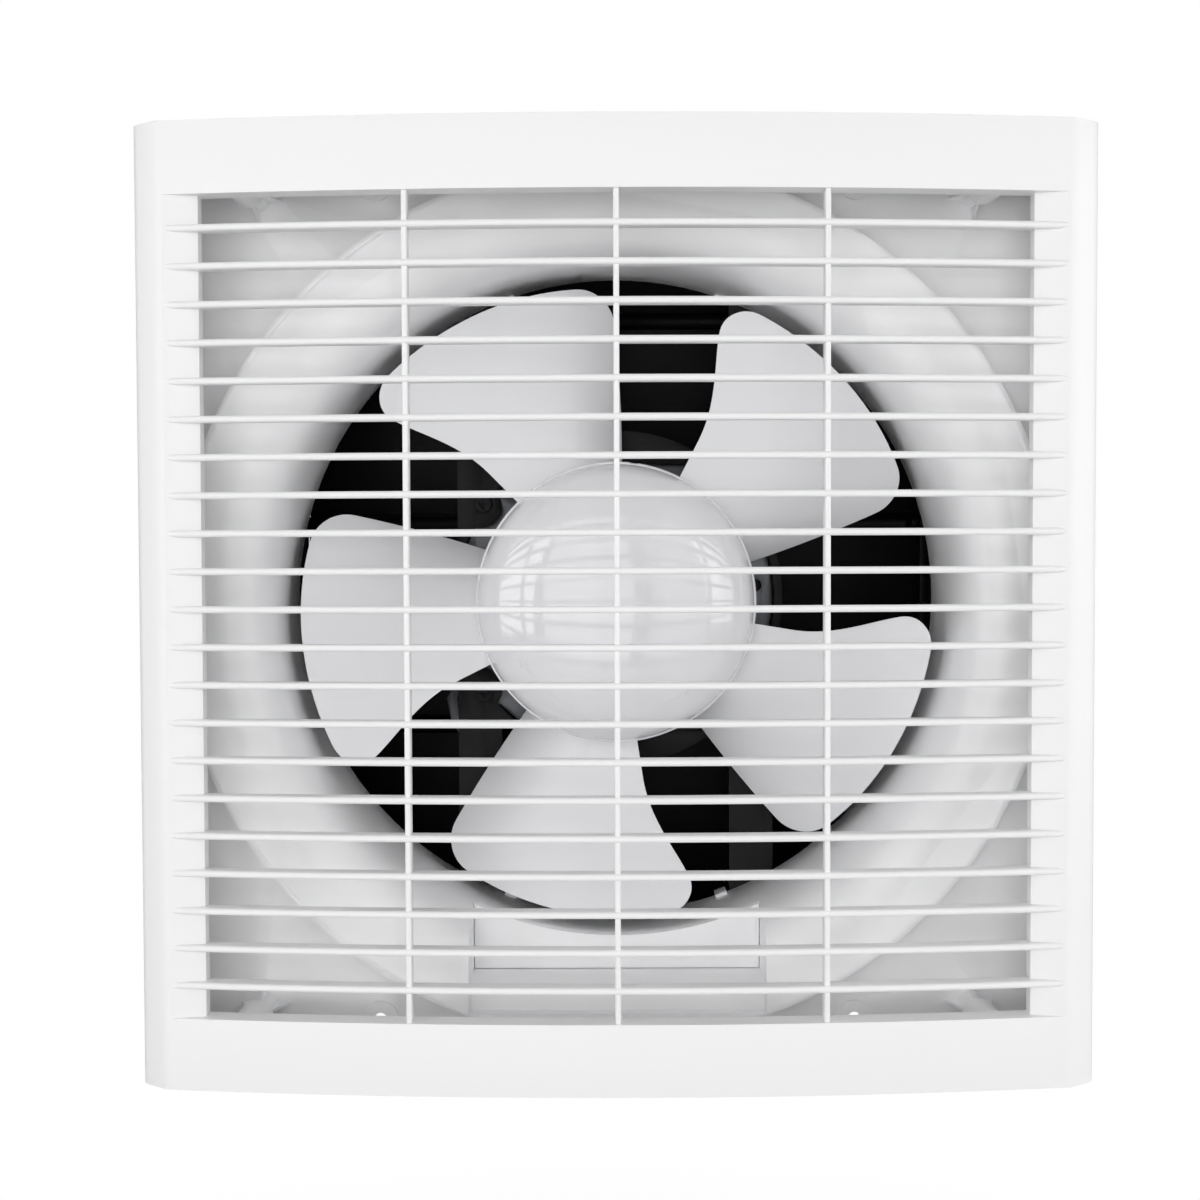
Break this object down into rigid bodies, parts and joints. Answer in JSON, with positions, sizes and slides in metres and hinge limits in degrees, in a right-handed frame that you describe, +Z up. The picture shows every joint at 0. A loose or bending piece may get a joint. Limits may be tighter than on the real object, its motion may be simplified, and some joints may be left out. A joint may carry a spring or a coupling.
{
  "type": "through-wall exhaust fan",
  "caption": "Square through-wall exhaust fan with a louvred pull-off front cover, bellmouth frame, bladed impeller under a screw-on hub cap, rear motor and linked backdraft flaps.",
  "frame": {"origin": "on the rotor's axis, in the plane of the wall face, which is the centre of the four wall screws", "axes": "+X to the right seen from the room, +Y back into the wall, +Z up"},
  "size_m": [0.34, 0.183, 0.34],
  "materials": {
    "cover_plastic": "satin white ABS",
    "frame_plastic": "fine white ABS",
    "blade_plastic": "satin pale grey",
    "cap_plastic": "gloss milky white",
    "black_plastic": "satin black",
    "black_steel": "satin black paint",
    "zinc_sheet": "zinc plated",
    "core_steel": "stacked sheet",
    "screw_steel": "zinc plated",
    "copper_wire": "varnished wire",
    "brass": "turned",
    "block_plastic": "cream nylon",
    "soft_black": "soft black",
    "lead_sheath": "grey PVC"
  },
  "bodies": {
    "housing": {"body_frame": "frame_plastic", "terminal_cover": "frame_plastic", "terminal_block": "block_plastic", "terminal_screws": "brass", "capacitor": "black_plastic", "cable_grommet": "soft_black", "motor_lead": "lead_sheath", "lead_clips": "black_plastic", "motor_bracket": "black_steel", "rear_casing": "black_plastic", "frame_screws": "screw_steel", "motor_front_cap": "zinc_sheet", "motor_rear_cap": "zinc_sheet", "stator_core": "core_steel", "stator_windings": "copper_wire", "motor_screws": "screw_steel", "front_bearing": "screw_steel", "rear_bearing": "screw_steel", "flap_bushes": "frame_plastic"},
    "cover": {"front_grille": "cover_plastic"},
    "rotor": {"rotor_core": "core_steel", "shaft": "screw_steel", "drive_pin": "screw_steel", "impeller": "blade_plastic"},
    "washer": {"captive_washer": "screw_steel"},
    "hub_cap": {"spinner": "cap_plastic", "spinner_nut": "brass"},
    "upper_flap": {"flap_top": "black_plastic"},
    "middle_flap": {"flap_middle": "black_plastic"},
    "lower_flap": {"flap_bottom": "black_plastic"},
    "link": {"link_bar": "black_plastic"}
  },
  "joints": [
    {"name": "cover_pull", "type": "slide", "parent": "housing", "child": "cover", "axis": [0, -1, 0], "range_m": [0, 0.06]},
    {"name": "rotor_spin", "type": "hinge", "parent": "housing", "child": "rotor", "pos_m": [0, 0, 0], "axis": [0, -1, 0], "continuous": true},
    {"name": "cap_advance", "type": "slide", "parent": "rotor", "child": "washer", "axis": [0, -1, 0], "range_m": [0, 0.018]},
    {"name": "cap_unscrew", "type": "hinge", "parent": "washer", "child": "hub_cap", "pos_m": [0, 0, 0], "axis": [0, -1, 0], "range_deg": [0, 3240]},
    {"name": "flap_middle_hinge", "type": "hinge", "parent": "housing", "child": "middle_flap", "pos_m": [0, 0.118, 0.031], "axis": [1, 0, 0], "range_deg": [0, 60]},
    {"name": "flap_top_hinge", "type": "hinge", "parent": "housing", "child": "upper_flap", "pos_m": [0, 0.118, 0.1205], "axis": [1, 0, 0], "range_deg": [0, 60]},
    {"name": "flap_bottom_hinge", "type": "hinge", "parent": "housing", "child": "lower_flap", "pos_m": [0, 0.118, -0.0585], "axis": [1, 0, 0], "range_deg": [0, 60]},
    {"name": "link_pivot", "type": "hinge", "parent": "middle_flap", "child": "link", "pos_m": [0.134, 0.102, 0.031], "axis": [1, 0, 0], "range_deg": [-60, 0]}
  ],
  "couplings": [
    {"joint": "cap_advance", "follows": "cap_unscrew", "m_per_rad": 0.0003183},
    {"joint": "flap_top_hinge", "follows": "flap_middle_hinge", "ratio": 1},
    {"joint": "flap_bottom_hinge", "follows": "flap_middle_hinge", "ratio": 1},
    {"joint": "link_pivot", "follows": "flap_middle_hinge", "ratio": -1}
  ]
}
